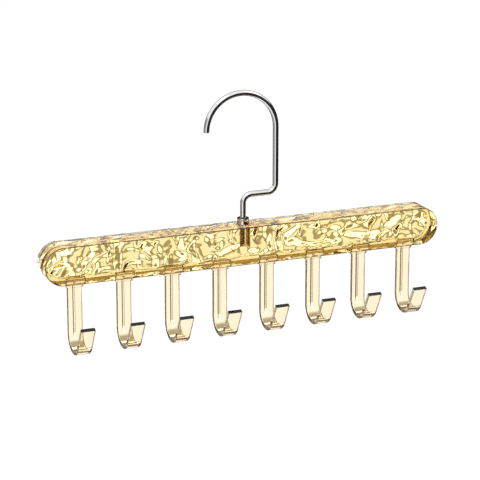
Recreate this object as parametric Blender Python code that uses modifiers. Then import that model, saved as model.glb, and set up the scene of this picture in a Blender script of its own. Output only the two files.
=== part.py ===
"""Delicates hanger: a clear amber bar with eight small garment hooks under it,
hung from a round metal rail hook that turns in the bar.

Metres, +Z up. X runs along the bar, -Y is the front, where the garment hooks open.
The origin is the rail seat: the inside of the rail hook's crown, where it hangs.
The pieces of the bar are placed from its top centre, on the turning axis.
"""

import math

import bmesh
import bpy
from mathutils import Vector, noise

MM = 0.001

# Bar, a flat-faced block with half-round ends
BAR_LENGTH = 290.5 * MM
BAR_HEIGHT = 26.8 * MM
BAR_DEPTH = 19.3 * MM
BAR_EDGE_ROUND = 0.8 * MM
END_SEGMENTS = 28

# Ripples pressed into the bar's back, inside a plain rim
RIPPLE_DEPTH = 4.6 * MM
RIPPLE_SIZE = 9.0 * MM
RIPPLE_FINE = 0.12
RIPPLE_FINE_SCALE = 2.1
RIPPLE_WARP = 0.3
RIPPLE_WARP_SCALE = 0.9
RIPPLE_WARP_START = (3.0, 1.0, 7.0)
RIPPLE_SEED = 1795716512
RIPPLE_STEP = 3.0 * MM
RIM_WIDTH = 1.0 * MM
RIM_SLOPE = 2.5 * MM
RIM_CLEARANCE = 0.3 * MM
BORE_WALL = 1.2 * MM

# Garment hooks: a head plugged into the bar, a strap, a round bend and a leaning lip
HOOK_COUNT = 8
END_HOOK_INSET = 22.75 * MM
STRAP_WIDTH = 10.0 * MM
STRAP_THICKNESS = 3.0 * MM
STRAP_SET_FORWARD = 0.5 * MM
STRAP_DROP = 35.8 * MM
BEND_RADIUS = 10.7 * MM
LIP_LEAN = math.radians(28.5)
LIP_LENGTH = 17.5 * MM
LIP_CORNER_RADIUS = 1.2 * MM
LIP_CORNER_SEGMENTS = 5
HOOK_EDGE_ROUND = 0.35 * MM
BEND_SEGMENTS = 15
RIB_SEGMENTS = 5

# Stiffening rib up the back of each strap
RIB_DEPTH = 2.2 * MM
RIB_THICKNESS = 1.2 * MM
RIB_SINK = 0.6 * MM
RIB_RUN_OUT = math.radians(32.0)

# Head of each garment hook, widest at the mouth of its pocket in the bar's underside
HEAD_MARGIN_ALONG = 0.85 * MM
HEAD_MARGIN_DEEP = 0.6 * MM
HEAD_FLARE = 0.9 * MM
HEAD_DRAFT = 0.5 * MM
HEAD_DROP = 3.6 * MM
HEAD_PLUG = 3.4 * MM
JOIN_OVERLAP = 1.0 * MM

# Rail hook, one bent rod
ROD_DIAMETER = 4.0 * MM
ARCH_RADIUS = 25.4 * MM
ARCH_CENTRE_HEIGHT = 66.75 * MM
LEG_OFFSET = 24.1 * MM
CRANK_HEIGHT = 20.8 * MM
CRANK_BEND_RADIUS = 6.0 * MM
STUB_DEPTH = 13.4 * MM
ROD_END_CHAMFER = 0.4 * MM
ARCH_SEGMENTS = 32
CRANK_BEND_SEGMENTS = 7

# Swivel: a bead on the rod, trapped between a bush in the bar and a ferrule on top
BEAD_DIAMETER = 5.8 * MM
BEAD_HEIGHT = 1.3 * MM
BUSH_WALL = 1.3 * MM
BUSH_NECK_WALL = 0.75 * MM
BUSH_NECK_HEIGHT = 1.2 * MM
BORE_END_SPACE = 1.2 * MM
FERRULE_WALL = 0.8 * MM
FERRULE_ROOF = 1.5 * MM
FERRULE_RIM_FLARE = 0.35 * MM
TURNED_SEGMENTS = 32

# Clearance on each side between pieces that fit together
FIT_GAP = 0.3 * MM

# Looks of the materials: colour, roughness, metallic, transmission
AMBER_PLASTIC = ((0.93, 0.73, 0.33, 1.0), 0.06, 0.0, 0.9)
PALE_PLASTIC = ((0.96, 0.87, 0.64, 1.0), 0.08, 0.0, 0.9)
BUSH_PLASTIC = ((0.90, 0.86, 0.76, 1.0), 0.20, 0.0, 0.6)
POLISHED_STEEL = ((0.78, 0.78, 0.79, 1.0), 0.10, 1.0, 0.0)

# Places worked out from the sizes, from the bar's top centre unless said otherwise
ROD_RADIUS = ROD_DIAMETER / 2
CROWN_OFFSET = LEG_OFFSET - ARCH_RADIUS
CROWN_HEIGHT = ARCH_CENTRE_HEIGHT + ARCH_RADIUS - ROD_RADIUS
HOOK_PITCH = (BAR_LENGTH - 2 * END_HOOK_INSET) / (HOOK_COUNT - 1)
HEAD_BOTTOM = -BAR_HEIGHT - HEAD_DROP
HEAD_TOP = -BAR_HEIGHT + HEAD_PLUG
HEAD_FOOT_WIDTH = STRAP_WIDTH + 2 * HEAD_MARGIN_ALONG
HEAD_MOUTH_WIDTH = HEAD_FOOT_WIDTH + 2 * HEAD_FLARE
HEAD_TOP_WIDTH = HEAD_MOUTH_WIDTH - 2 * HEAD_DRAFT
HEAD_DEPTH = STRAP_THICKNESS + 2 * HEAD_MARGIN_DEEP
STRAP_TOP = HEAD_BOTTOM + JOIN_OVERLAP
BEND_CENTRE_HEIGHT = -BAR_HEIGHT - STRAP_DROP
BORE_BOTTOM = -STUB_DEPTH - BORE_END_SPACE
BUSH_BORE = ROD_DIAMETER + 2 * FIT_GAP
BUSH_DIAMETER = BUSH_BORE + 2 * BUSH_WALL
BAR_BORE = BUSH_DIAMETER + 2 * FIT_GAP
BUSH_NECK_DIAMETER = BUSH_BORE + 2 * BUSH_NECK_WALL
BEAD_BOTTOM = BUSH_NECK_HEIGHT + FIT_GAP
FERRULE_CAVITY_ROOF = BEAD_BOTTOM + BEAD_HEIGHT + FIT_GAP
FERRULE_CAVITY = max(BUSH_NECK_DIAMETER, BEAD_DIAMETER) + 2 * FIT_GAP
FERRULE_DIAMETER = FERRULE_CAVITY + 2 * FERRULE_WALL
FERRULE_THROAT = ROD_DIAMETER + 2 * FIT_GAP
FERRULE_TOP = FERRULE_CAVITY_ROOF + FERRULE_ROOF


def clear_scene():
    for old in list(bpy.data.objects):
        bpy.data.objects.remove(old, do_unlink=True)


def new_collection(name):
    collection = bpy.data.collections.new(name)
    bpy.context.scene.collection.children.link(collection)
    return collection


def finish_material(name, look):
    colour, roughness, metallic, transmission = look
    material = bpy.data.materials.new(name)
    material.use_nodes = True
    shader = material.node_tree.nodes["Principled BSDF"]
    shader.inputs["Base Color"].default_value = colour
    shader.inputs["Roughness"].default_value = roughness
    shader.inputs["Metallic"].default_value = metallic
    shader.inputs["Transmission Weight"].default_value = transmission
    material.diffuse_color = colour
    return material


def place(obj, collection, parent, location=(0.0, 0.0, 0.0)):
    for owner in list(obj.users_collection):
        owner.objects.unlink(obj)
    collection.objects.link(obj)
    obj.parent = parent
    obj.location = location
    return obj


def smooth(mesh):
    mesh.shade_smooth()
    mesh.set_sharp_from_angle(angle=math.radians(40.0))


def arc(centre, radius, start, end, segments):
    """Points of an arc in a plane, both ends included, angles in radians."""
    points = []
    for step in range(segments + 1):
        angle = start + (end - start) * step / segments
        points.append((centre[0] + radius * math.cos(angle), centre[1] + radius * math.sin(angle)))
    return points


def mesh_of_curve(name, curve):
    """The curve as a closed mesh, with its caps welded to its sides."""
    source = bpy.data.objects.new(name + "_curve", curve)
    bpy.context.scene.collection.objects.link(source)
    evaluated = source.evaluated_get(bpy.context.evaluated_depsgraph_get())
    mesh = bpy.data.meshes.new_from_object(evaluated)
    mesh.name = name
    bpy.data.objects.remove(source, do_unlink=True)
    work = bmesh.new()
    work.from_mesh(mesh)
    bmesh.ops.remove_doubles(work, verts=work.verts, dist=0.00001)
    bmesh.ops.recalc_face_normals(work, faces=work.faces)
    work.to_mesh(mesh)
    work.free()
    return mesh


def flat_plate(name, outline, thickness):
    """A closed outline in the local XY plane, thickened evenly about that plane."""
    curve = bpy.data.curves.new(name + "_outline", "CURVE")
    curve.dimensions = "2D"
    curve.fill_mode = "BOTH"
    curve.extrude = thickness / 2
    spline = curve.splines.new("POLY")
    spline.points.add(len(outline) - 1)
    for point, (across, along) in zip(spline.points, outline):
        point.co = (across, along, 0.0, 1.0)
    spline.use_cyclic_u = True
    return mesh_of_curve(name, curve)


def turned_piece(name, profile, segments):
    """A closed profile of (radius, height) points, turned about Z."""
    mesh = bpy.data.meshes.new(name)
    count = len(profile)
    points = [(radius, 0.0, height) for radius, height in profile]
    edges = [(index, (index + 1) % count) for index in range(count)]
    mesh.from_pydata(points, edges, [])
    obj = bpy.data.objects.new(name, mesh)
    turn = obj.modifiers.new("turn", "SCREW")
    turn.axis = "Z"
    turn.angle = 2 * math.pi
    turn.steps = segments
    turn.render_steps = segments
    turn.use_merge_vertices = True
    turn.merge_threshold = 0.00001
    turn.use_smooth_shade = False
    return obj


def join_or_cut(obj, tool, operation):
    step = obj.modifiers.new(operation.lower() + "_" + tool.name, "BOOLEAN")
    step.operation = operation
    step.object = tool
    step.solver = "EXACT"


def as_tool(tool, collection, parent):
    place(tool, collection, parent)
    tool.hide_render = True
    tool.display_type = "WIRE"
    return tool


def round_edges(obj, width, segments, least_angle):
    bevel = obj.modifiers.new("edge_round", "BEVEL")
    bevel.width = width
    bevel.segments = segments
    bevel.limit_method = "ANGLE"
    bevel.angle_limit = math.radians(least_angle)
    return bevel


def evaluated_mesh(name, obj):
    """The object's mesh with its modifiers worked in."""
    bpy.context.view_layer.update()
    mesh = bpy.data.meshes.new_from_object(obj.evaluated_get(bpy.context.evaluated_depsgraph_get()))
    mesh.name = name
    return mesh


def hook_places():
    first = -(HOOK_COUNT - 1) / 2 * HOOK_PITCH
    return [first + number * HOOK_PITCH for number in range(HOOK_COUNT)]


def bar_outline():
    """Two half circles joined by straight top and bottom edges, top edge at height 0."""
    radius = BAR_HEIGHT / 2
    reach = BAR_LENGTH / 2 - radius
    right = arc((reach, -radius), radius, -math.pi / 2, math.pi / 2, END_SEGMENTS)
    left = arc((-reach, -radius), radius, math.pi / 2, 3 * math.pi / 2, END_SEGMENTS)
    return right + left


def upright_block(name, levels, depth):
    """A block seen from the front: (width, height) at each level, from the top down."""
    right = [(width / 2, height) for width, height in levels]
    left = [(-across, height) for across, height in right]
    mesh = flat_plate(name, right + left[::-1], depth)
    for vertex in mesh.vertices:
        vertex.co = (vertex.co.x, -STRAP_SET_FORWARD - vertex.co.z, vertex.co.y)
    return bpy.data.objects.new(name, mesh)


def make_pocket_cutters(tools, axis):
    """The hollow in the bar's underside that takes each garment hook's head."""
    cutters = []
    mouth = HEAD_MOUTH_WIDTH + 2 * FIT_GAP
    levels = [
        (HEAD_TOP_WIDTH + 2 * FIT_GAP, HEAD_TOP + FIT_GAP),
        (mouth, -BAR_HEIGHT),
        (mouth, -BAR_HEIGHT - JOIN_OVERLAP),
    ]
    for number, across in enumerate(hook_places(), start=1):
        cutter = upright_block(f"pocket_cutter_{number}", levels, HEAD_DEPTH + 2 * FIT_GAP)
        for vertex in cutter.data.vertices:
            vertex.co.x += across
        cutters.append(as_tool(cutter, tools, axis))
    return cutters


def make_bore_cutter(tools, axis):
    top = JOIN_OVERLAP
    height = top - BORE_BOTTOM
    bpy.ops.mesh.primitive_cylinder_add(vertices=TURNED_SEGMENTS, radius=BAR_BORE / 2, depth=height)
    cutter = bpy.context.object
    cutter.name = "bore_cutter"
    for vertex in cutter.data.vertices:
        vertex.co.z += (top + BORE_BOTTOM) / 2
    return as_tool(cutter, tools, axis)


def ripple_depth(along, up):
    """How deep the back is pressed in at a place; negative where the cutter stays clear of the rim."""
    reach = BAR_LENGTH / 2 - BAR_HEIGHT / 2
    inset = BAR_HEIGHT / 2 - math.hypot(max(0.0, abs(along) - reach), up + BAR_HEIGHT / 2)
    share = max(0.0, min(1.0, (inset - RIM_WIDTH) / RIM_SLOPE))
    slope = share * share * (3.0 - 2.0 * share)
    point = Vector((along, 0.0, up)) / RIPPLE_SIZE
    point = point + noise.noise_vector(point * RIPPLE_WARP_SCALE + Vector(RIPPLE_WARP_START)) * RIPPLE_WARP
    swell = noise.noise(point) + noise.noise(point * RIPPLE_FINE_SCALE) * RIPPLE_FINE
    height = 0.5 + 0.5 * max(-1.0, min(1.0, swell))
    depth = slope * (RIM_CLEARANCE + RIPPLE_DEPTH * height) - RIM_CLEARANCE
    beside_bore = abs(along) < BAR_BORE / 2 + RIPPLE_STEP and up > BORE_BOTTOM - RIPPLE_STEP
    if beside_bore:
        depth = min(depth, BAR_DEPTH / 2 - BAR_BORE / 2 - BORE_WALL)
    return depth


def make_ripple_cutter(tools, axis):
    """What is pressed out of the bar's back; its near face carries the ripples."""
    columns = 2 * math.ceil((BAR_LENGTH / 2 + RIM_CLEARANCE) / RIPPLE_STEP)
    rows = 2 * math.ceil(BAR_HEIGHT / 2 / RIPPLE_STEP)
    bpy.ops.mesh.primitive_grid_add(x_subdivisions=columns, y_subdivisions=rows, size=1.0)
    cutter = bpy.context.object
    cutter.name = "ripple_cutter"
    work = bmesh.new()
    work.from_mesh(cutter.data)
    noise.seed_set(RIPPLE_SEED)
    for vertex in work.verts:
        along = vertex.co.x * columns * RIPPLE_STEP
        up = vertex.co.y * rows * RIPPLE_STEP - BAR_HEIGHT / 2
        vertex.co = (along, BAR_DEPTH / 2 - ripple_depth(along, up), up)
    raised = bmesh.ops.extrude_face_region(work, geom=work.faces[:])
    for item in raised["geom"]:
        if isinstance(item, bmesh.types.BMVert):
            item.co.y = BAR_DEPTH
    bmesh.ops.triangulate(work, faces=work.faces[:])
    bmesh.ops.recalc_face_normals(work, faces=work.faces[:])
    work.to_mesh(cutter.data)
    work.free()
    return as_tool(cutter, tools, axis)


def make_bar(parts, tools, axis, material):
    mesh = flat_plate("bar", bar_outline(), BAR_DEPTH)
    for vertex in mesh.vertices:
        vertex.co = (vertex.co.x, -vertex.co.z, vertex.co.y)
    bar = place(bpy.data.objects.new("bar", mesh), parts, axis)
    round_edges(bar, BAR_EDGE_ROUND, 2, 60.0)
    join_or_cut(bar, make_ripple_cutter(tools, axis), "DIFFERENCE")
    for cutter in make_pocket_cutters(tools, axis):
        join_or_cut(bar, cutter, "DIFFERENCE")
    join_or_cut(bar, make_bore_cutter(tools, axis), "DIFFERENCE")
    smooth(mesh)
    mesh.materials.append(material)
    return bar


def hook_outline():
    """Side view of a garment hook as (depth, height): down the back, round the bend, up the lip."""
    outer = BEND_RADIUS + STRAP_THICKNESS / 2
    inner = BEND_RADIUS - STRAP_THICKNESS / 2
    back = -STRAP_SET_FORWARD + STRAP_THICKNESS / 2
    front = back - STRAP_THICKNESS
    centre = (back - outer, BEND_CENTRE_HEIGHT)
    end = -(math.pi - LIP_LEAN)
    outside = arc(centre, outer, 0.0, end, BEND_SEGMENTS)
    inside = arc(centre, inner, end, 0.0, BEND_SEGMENTS)
    rise = (-math.sin(LIP_LEAN) * LIP_LENGTH, math.cos(LIP_LEAN) * LIP_LENGTH)
    tip_outside = (outside[-1][0] + rise[0], outside[-1][1] + rise[1])
    tip_inside = (inside[0][0] + rise[0], inside[0][1] + rise[1])
    points = [(back, STRAP_TOP)] + outside + [tip_outside, tip_inside] + inside + [(front, STRAP_TOP)]
    return points, tip_outside, tip_inside


def rib_outline():
    """Side view of the rib: sunk a little into the strap, running out as the bend begins."""
    outer = BEND_RADIUS + STRAP_THICKNESS / 2
    back = -STRAP_SET_FORWARD + STRAP_THICKNESS / 2
    centre = (back - outer, BEND_CENTRE_HEIGHT)
    top = -BAR_HEIGHT - FIT_GAP
    sunk = arc(centre, outer - RIB_SINK, 0.0, -RIB_RUN_OUT, RIB_SEGMENTS)
    crest = []
    for step in range(RIB_SEGMENTS):
        share = step / RIB_SEGMENTS
        radius = outer + RIB_DEPTH - share * (RIB_DEPTH + RIB_SINK)
        angle = -RIB_RUN_OUT * share
        crest.append((centre[0] + radius * math.cos(angle), centre[1] + radius * math.sin(angle)))
    return [(back - RIB_SINK, top)] + sunk + crest[::-1] + [(back + RIB_DEPTH, top)]


def side_to_world(mesh):
    """Stand a side view up: its first axis becomes depth and its thickness runs along the bar."""
    for vertex in mesh.vertices:
        vertex.co = (vertex.co.z, vertex.co.x, vertex.co.y)


def round_lip_corners(mesh, tip_outside, tip_inside):
    """Round the lip's two upper corners, seen from the front."""
    work = bmesh.new()
    work.from_mesh(mesh)
    near = 0.00002

    def sits_at(vertex, point):
        return math.hypot(vertex.co.y - point[0], vertex.co.z - point[1]) < near

    corners = []
    for edge in work.edges:
        one, other = edge.verts
        same_side = abs(one.co.x - other.co.x) < near
        joins_faces = (sits_at(one, tip_outside) and sits_at(other, tip_inside)) or (
            sits_at(one, tip_inside) and sits_at(other, tip_outside)
        )
        if same_side and joins_faces:
            corners.append(edge)
    bmesh.ops.bevel(
        work,
        geom=corners,
        offset=LIP_CORNER_RADIUS,
        offset_type="OFFSET",
        segments=LIP_CORNER_SEGMENTS,
        profile=0.5,
        affect="EDGES",
        material=-1,
    )
    work.to_mesh(mesh)
    work.free()


def make_hook_mesh(tools, axis, material):
    """One garment hook's mesh, shared by all of them."""
    outline, tip_outside, tip_inside = hook_outline()
    mesh = flat_plate("garment_hook", outline, STRAP_WIDTH)
    side_to_world(mesh)
    round_lip_corners(mesh, tip_outside, tip_inside)
    pattern = place(bpy.data.objects.new("hook_pattern", mesh), tools, axis)
    rib = bpy.data.objects.new("rib_block", flat_plate("rib_block", rib_outline(), RIB_THICKNESS))
    side_to_world(rib.data)
    as_tool(rib, tools, axis)
    join_or_cut(pattern, rib, "UNION")
    levels = [(HEAD_TOP_WIDTH, HEAD_TOP), (HEAD_MOUTH_WIDTH, -BAR_HEIGHT), (HEAD_FOOT_WIDTH, HEAD_BOTTOM)]
    head = as_tool(upright_block("head_block", levels, HEAD_DEPTH), tools, axis)
    join_or_cut(pattern, head, "UNION")
    round_edges(pattern, HOOK_EDGE_ROUND, 1, 50.0)
    finished = evaluated_mesh("garment_hook", pattern)
    bpy.data.objects.remove(pattern, do_unlink=True)
    smooth(finished)
    finished.materials.clear()
    finished.materials.append(material)
    return finished


def make_garment_hooks(parts, tools, axis, material):
    mesh = make_hook_mesh(tools, axis, material)
    for number, across in enumerate(hook_places(), start=1):
        hook = bpy.data.objects.new(f"garment_hook_{number}", mesh)
        place(hook, parts, axis, (across, 0.0, 0.0))


def rod_path():
    """Centre line of the rail hook as (along, height), from the stub's end to the tip."""
    turn = CRANK_BEND_RADIUS
    first = arc((turn, CRANK_HEIGHT - turn), turn, math.pi, math.pi / 2, CRANK_BEND_SEGMENTS)
    second = arc((LEG_OFFSET - turn, CRANK_HEIGHT + turn), turn, -math.pi / 2, 0.0, CRANK_BEND_SEGMENTS)
    arch = arc((CROWN_OFFSET, ARCH_CENTRE_HEIGHT), ARCH_RADIUS, 0.0, math.pi, ARCH_SEGMENTS)
    return [(0.0, -STUB_DEPTH)] + first + second + arch


def make_rail_hook(parts, tools, axis, seat, material):
    curve = bpy.data.curves.new("rail_hook_path", "CURVE")
    curve.dimensions = "3D"
    curve.bevel_depth = ROD_RADIUS
    curve.bevel_resolution = 4
    curve.use_fill_caps = True
    spline = curve.splines.new("POLY")
    path = rod_path()
    spline.points.add(len(path) - 1)
    for point, (along, height) in zip(spline.points, path):
        point.co = (along, 0.0, height, 1.0)
    mesh = mesh_of_curve("rail_hook", curve)
    bpy.ops.mesh.primitive_cylinder_add(vertices=TURNED_SEGMENTS, radius=BEAD_DIAMETER / 2, depth=BEAD_HEIGHT)
    bead = bpy.context.object
    bead.name = "bead_block"
    for vertex in bead.data.vertices:
        vertex.co.z += BEAD_BOTTOM + BEAD_HEIGHT / 2
    as_tool(bead, tools, axis)
    place_from_seat = (-CROWN_OFFSET, 0.0, -CROWN_HEIGHT)
    rail_hook = place(bpy.data.objects.new("rail_hook", mesh), parts, seat, place_from_seat)
    join_or_cut(rail_hook, bead, "UNION")
    round_edges(rail_hook, ROD_END_CHAMFER, 1, 60.0)
    smooth(mesh)
    mesh.materials.append(material)
    return rail_hook


def make_swivel_bush(parts, axis, material):
    """Sleeve in the bar's bore that guides the rod; its neck carries the bead."""
    outer = BUSH_DIAMETER / 2
    neck = BUSH_NECK_DIAMETER / 2
    bore = BUSH_BORE / 2
    bottom = BORE_BOTTOM + FIT_GAP
    profile = [
        (bore, BUSH_NECK_HEIGHT),
        (neck, BUSH_NECK_HEIGHT),
        (neck, 0.0),
        (outer, 0.0),
        (outer, bottom),
        (bore, bottom),
    ]
    bush = place(turned_piece("swivel_bush", profile, TURNED_SEGMENTS), parts, axis)
    bush.data.materials.append(material)
    return bush


def make_ferrule(parts, axis, material):
    """Metal collar round the rod: it caps the bush and hangs on the rod's bead."""
    outer = FERRULE_DIAMETER / 2
    waist = outer - FERRULE_RIM_FLARE
    cavity = FERRULE_CAVITY / 2
    throat = FERRULE_THROAT / 2
    rim_height = FERRULE_ROOF / 2
    profile = [
        (throat + 2 * FERRULE_RIM_FLARE, FERRULE_TOP),
        (outer - FERRULE_RIM_FLARE, FERRULE_TOP),
        (outer, FERRULE_TOP - rim_height / 2),
        (outer, FERRULE_TOP - rim_height),
        (waist, FERRULE_TOP - 2 * rim_height),
        (waist, FIT_GAP),
        (cavity, FIT_GAP),
        (cavity, FERRULE_CAVITY_ROOF),
        (throat, FERRULE_CAVITY_ROOF),
        (throat, FERRULE_TOP - rim_height),
    ]
    ferrule = place(turned_piece("ferrule", profile, TURNED_SEGMENTS), parts, axis)
    ferrule.data.materials.append(material)
    return ferrule


def main():
    clear_scene()
    parts = new_collection("delicates_hanger")
    tools = new_collection("cutters")

    seat = bpy.data.objects.new("rail_seat", None)
    parts.objects.link(seat)
    axis = bpy.data.objects.new("swivel_axis", None)
    parts.objects.link(axis)
    axis.location = (-CROWN_OFFSET, 0.0, -CROWN_HEIGHT)

    amber = finish_material("amber_clear_plastic", AMBER_PLASTIC)
    pale = finish_material("pale_clear_plastic", PALE_PLASTIC)
    sleeve = finish_material("bush_plastic", BUSH_PLASTIC)
    steel = finish_material("polished_steel", POLISHED_STEEL)

    make_bar(parts, tools, axis, amber)
    make_garment_hooks(parts, tools, axis, pale)
    make_swivel_bush(parts, axis, sleeve)
    make_ferrule(parts, axis, steel)
    make_rail_hook(parts, tools, axis, seat, steel)
    bpy.context.view_layer.update()


main()
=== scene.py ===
"""Looks of the delicates hanger: a clear amber bar with a rippled back, eight clear
garment hooks, and a polished rail hook that turns in the bar. Metres, +Z up."""

import math

import bmesh
import bpy
from mathutils import Matrix, Vector, noise


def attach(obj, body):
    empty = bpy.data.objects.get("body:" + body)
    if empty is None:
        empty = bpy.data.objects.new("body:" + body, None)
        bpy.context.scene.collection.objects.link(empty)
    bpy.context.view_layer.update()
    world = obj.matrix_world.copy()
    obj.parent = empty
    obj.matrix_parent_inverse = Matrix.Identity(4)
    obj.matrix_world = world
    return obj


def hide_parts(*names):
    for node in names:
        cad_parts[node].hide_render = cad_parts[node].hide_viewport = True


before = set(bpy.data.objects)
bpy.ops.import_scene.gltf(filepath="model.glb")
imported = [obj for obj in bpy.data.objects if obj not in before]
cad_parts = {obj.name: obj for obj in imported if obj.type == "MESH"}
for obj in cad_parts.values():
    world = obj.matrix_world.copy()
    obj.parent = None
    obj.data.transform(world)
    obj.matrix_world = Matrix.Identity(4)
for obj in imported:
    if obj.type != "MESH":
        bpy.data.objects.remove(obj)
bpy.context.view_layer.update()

MM = 0.001
SLACK = 0.01 * MM

# Turning axis and the bar's top, in the frame that hangs from the rail seat
AXIS_ALONG = 1.3 * MM
BAR_TOP = -90.15 * MM

# Bar
BAR_LENGTH = 290.5 * MM
BAR_HEIGHT = 26.8 * MM
BAR_DEPTH = 19.3 * MM
BAR_EDGE_ROUND = 0.8 * MM
BAR_EDGE_STEPS = 4
BAR_END_FACETS = 96
END_RADIUS = BAR_HEIGHT / 2
BAR_MIDDLE = BAR_TOP - END_RADIUS
BAR_BACK = BAR_DEPTH / 2

# Ripples pressed into the bar's back, inside a plain rim
RIPPLE_DEPTH = 4.6 * MM
RIPPLE_SIZE = 9.0 * MM
RIPPLE_WARP = 0.3
RIPPLE_FINE = 0.12
RIPPLE_FINE_SCALE = 2.1
RIPPLE_WARP_SCALE = 0.9
RIPPLE_WARP_START = (3.0, 1.0, 7.0)
RIPPLE_SEED = 1795716512
RIPPLE_STEP = 0.5 * MM
RIM_WIDTH = 1.0 * MM
RIM_SLOPE = 2.5 * MM
RIM_CLEARANCE = 0.3 * MM
RIM_LEAST = 0.2 * MM
RIM_WANDER = 2.0 * MM
RIM_WANDER_SIZE = 11.0 * MM
BORE_WALL = 1.2 * MM

# Each garment hook's head, plugged into a pocket in the bar's underside
HEAD_TOP_WIDTH = 12.5 * MM
HEAD_MOUTH_WIDTH = 13.5 * MM
HEAD_FOOT_WIDTH = 11.7 * MM
HEAD_DEPTH = 4.2 * MM
HEAD_DROP = 3.6 * MM
HEAD_PLUG = 3.4 * MM
HEAD_EDGE_ROUND = 0.5 * MM
HEAD_EDGE_STEPS = 3
CUT_OVERRUN = 1.0 * MM
FIT_GAP = 0.3 * MM

# Garment hooks
HOOK_COUNT = 8
HOOK_PITCH = 35.0 * MM
STRAP_WIDTH = 10.0 * MM
STRAP_THICKNESS = 3.0 * MM
STRAP_SET_FORWARD = 0.5 * MM
STRAP_DROP = 35.8 * MM
BEND_RADIUS = 10.7 * MM
BEND_STEPS = 38
LIP_LEAN = math.radians(28.5)
LIP_LENGTH = 17.5 * MM
LIP_CORNER_RADIUS = 1.2 * MM
LIP_CORNER_STEPS = 8
LIP_END_SHARE = 0.8
LIP_EDGE_MOST = 1.1 * STRAP_THICKNESS
HOOK_EDGE_ROUND = 0.35 * MM
HOOK_EDGE_STEPS = 3
RIB_DEPTH = 2.2 * MM
RIB_THICKNESS = 1.2 * MM
RIB_SINK = 0.6 * MM
RIB_RUN_OUT = math.radians(32.0)
RIB_RUN_OUT_STEPS = 10
RIB_RUN_OUT_SINK = 0.9
RIB_EDGE_ROUND = 0.2 * MM
RIB_EDGE_STEPS = 2

# Where every strap's back is, its bend's outer radius, and the height of the bend's centre
STRAP_BACK = -STRAP_SET_FORWARD + STRAP_THICKNESS / 2
BEND_OUTER = BEND_RADIUS + STRAP_THICKNESS / 2
BEND_HEIGHT = BAR_TOP - BAR_HEIGHT - STRAP_DROP

# Rail hook, turned and bent from one rod
ROD_RADIUS = 2.0 * MM
ARCH_RADIUS = 25.4 * MM
ARCH_CENTRE_HEIGHT = 66.75 * MM
LEG_OFFSET = 24.1 * MM
CRANK_HEIGHT = 20.8 * MM
CRANK_BEND_RADIUS = 6.0 * MM
STUB_DEPTH = 13.4 * MM
ROD_END_CHAMFER = 0.4 * MM
ROD_END_STEPS = 3
ROD_SIDES = 40
CRANK_BEND_STEPS = 16
ARCH_STEPS = 72
BEAD_RADIUS = 2.9 * MM
BEAD_BOTTOM = 1.5 * MM
BEAD_HEIGHT = 1.3 * MM
BEAD_EDGE = 0.2 * MM
BEAD_EDGE_SWELL = 0.93

# Bush and ferrule
BUSH_RADIUS = 3.6 * MM
BUSH_BORE = 2.3 * MM
BUSH_NECK = 3.05 * MM
BUSH_NECK_HEIGHT = 1.2 * MM
BUSH_CHAMFER = 0.1 * MM
BORE_RADIUS = 3.9 * MM
BORE_DEPTH = 14.6 * MM
TURNED_SIDES = 64
FERRULE_RADIUS = 4.15 * MM
FERRULE_WAIST = 3.8 * MM
FERRULE_FOOT = 4.12 * MM
FERRULE_CAVITY = 3.35 * MM
FERRULE_THROAT = 2.3 * MM
FERRULE_CAVITY_ROOF = 3.1 * MM
FERRULE_TOP = 4.6 * MM
FERRULE_LIP = 0.2 * MM

# Millimetres in from the rim's radius or out from the waist's, and down from the ferrule's top
FERRULE_RIM_LINE = ((0.3, 0.0), (0.08, 0.08), (0.0, 0.3), (0.1, 1.1))
FERRULE_COVE_LINE = ((0.0, 1.6), (0.02, 2.2), (0.1, 3.0))

# Millimetres in from the foot's radius, and up from the bar's top
FERRULE_FOOT_LINE = ((0.08, 0.9), (0.0, 0.5), (0.15, 0.3))


def new_node(tree, kind, **settings):
    node = tree.nodes.new(kind)
    for name, value in settings.items():
        setattr(node, name, value)
    return node


def feed(tree, source, socket):
    """Link an output, or set a plain value."""
    if isinstance(source, bpy.types.NodeSocket):
        tree.links.new(source, socket)
    else:
        socket.default_value = source


def arithmetic(tree, operation, *values):
    node = new_node(tree, "ShaderNodeMath", operation=operation)
    for socket, value in zip(node.inputs, values):
        feed(tree, value, socket)
    return node.outputs["Value"]


def tone_steps(tree, source, low, high, stops):
    """Tones or colours set out along a value that runs from low to high."""
    place = new_node(tree, "ShaderNodeMapRange")
    feed(tree, source, place.inputs["Value"])
    place.inputs["From Min"].default_value = low
    place.inputs["From Max"].default_value = high
    ramp = new_node(tree, "ShaderNodeValToRGB")
    tree.links.new(place.outputs["Result"], ramp.inputs["Fac"])
    elements = ramp.color_ramp.elements
    elements.remove(elements[-1])
    for number, (position, tone) in enumerate(stops):
        share = (position - low) / (high - low)
        element = elements[0] if number == 0 else elements.new(share)
        element.position = share
        element.color = tone if isinstance(tone, tuple) else (tone, tone, tone, 1.0)
    return ramp.outputs["Color"]


def times(tree, *values):
    return arithmetic(tree, "MULTIPLY", *values)


def pick(tree, factor, without, with_it):
    """The first value where the factor is 0, the second where it is 1."""
    node = new_node(tree, "ShaderNodeMix", data_type="RGBA")
    feed(tree, factor, node.inputs["Factor"])
    for socket, value in ((node.inputs["A"], without), (node.inputs["B"], with_it)):
        if isinstance(value, float):
            value = (value, value, value, 1.0)
        feed(tree, value, socket)
    return node.outputs["Result"]


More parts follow.
